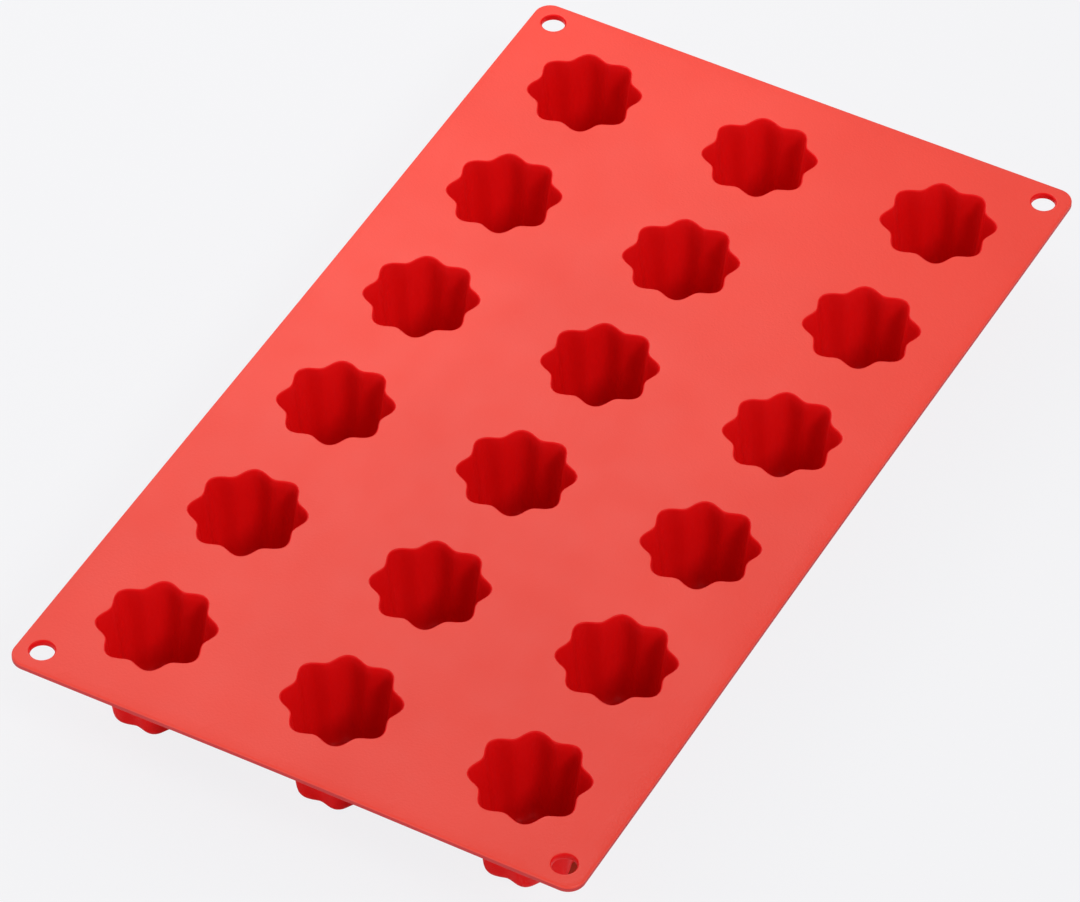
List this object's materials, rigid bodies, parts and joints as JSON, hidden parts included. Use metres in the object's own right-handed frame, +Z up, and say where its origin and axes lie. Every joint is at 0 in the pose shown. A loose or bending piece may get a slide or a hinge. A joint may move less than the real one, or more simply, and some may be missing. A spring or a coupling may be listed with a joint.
{
  "type": "canele mould",
  "caption": "Flexible silicone baking mould: a flat sheet that carries a grid of fluted, tapered wells for small caneles, with a hole in each corner.",
  "frame": {"origin": "middle of the footprint, on the plane that the flat bottoms of the wells stand on", "axes": "+X along the long side of the sheet, +Y along the short side, +Z up, out of the mouths of the wells"},
  "size_m": [0.3, 0.1724, 0.03],
  "materials": {
    "silicone": "satin"
  },
  "bodies": {
    "root": {"canele_mould": "silicone"}
  },
  "joints": []
}
